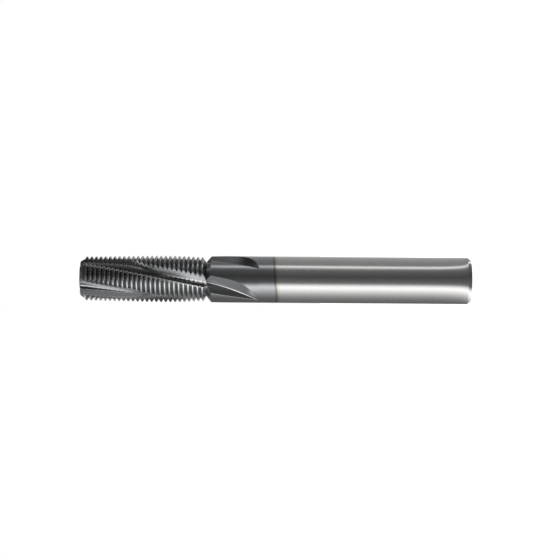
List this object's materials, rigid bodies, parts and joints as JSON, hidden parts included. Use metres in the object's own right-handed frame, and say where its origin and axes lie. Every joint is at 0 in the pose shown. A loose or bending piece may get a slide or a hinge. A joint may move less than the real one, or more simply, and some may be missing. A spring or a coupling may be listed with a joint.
{
  "type": "thread mill",
  "caption": "Round-shank cutting tool with helical flutes and rings of sharp V teeth, turned in a spindle to mill an internal screw thread.",
  "frame": {"origin": "centre of the shank's end face, which the tool stands on", "axes": "+Z along the tool axis from the shank end to the cutting tip; +X and +Y between cutting edges at the tip"},
  "size_m": [0.01, 0.01, 0.084],
  "materials": {
    "carbide": "ground cemented carbide, with a thin dark nitride coat over the cutter and the front of the shank"
  },
  "bodies": {
    "root": {"thread_mill": "carbide"}
  },
  "joints": []
}
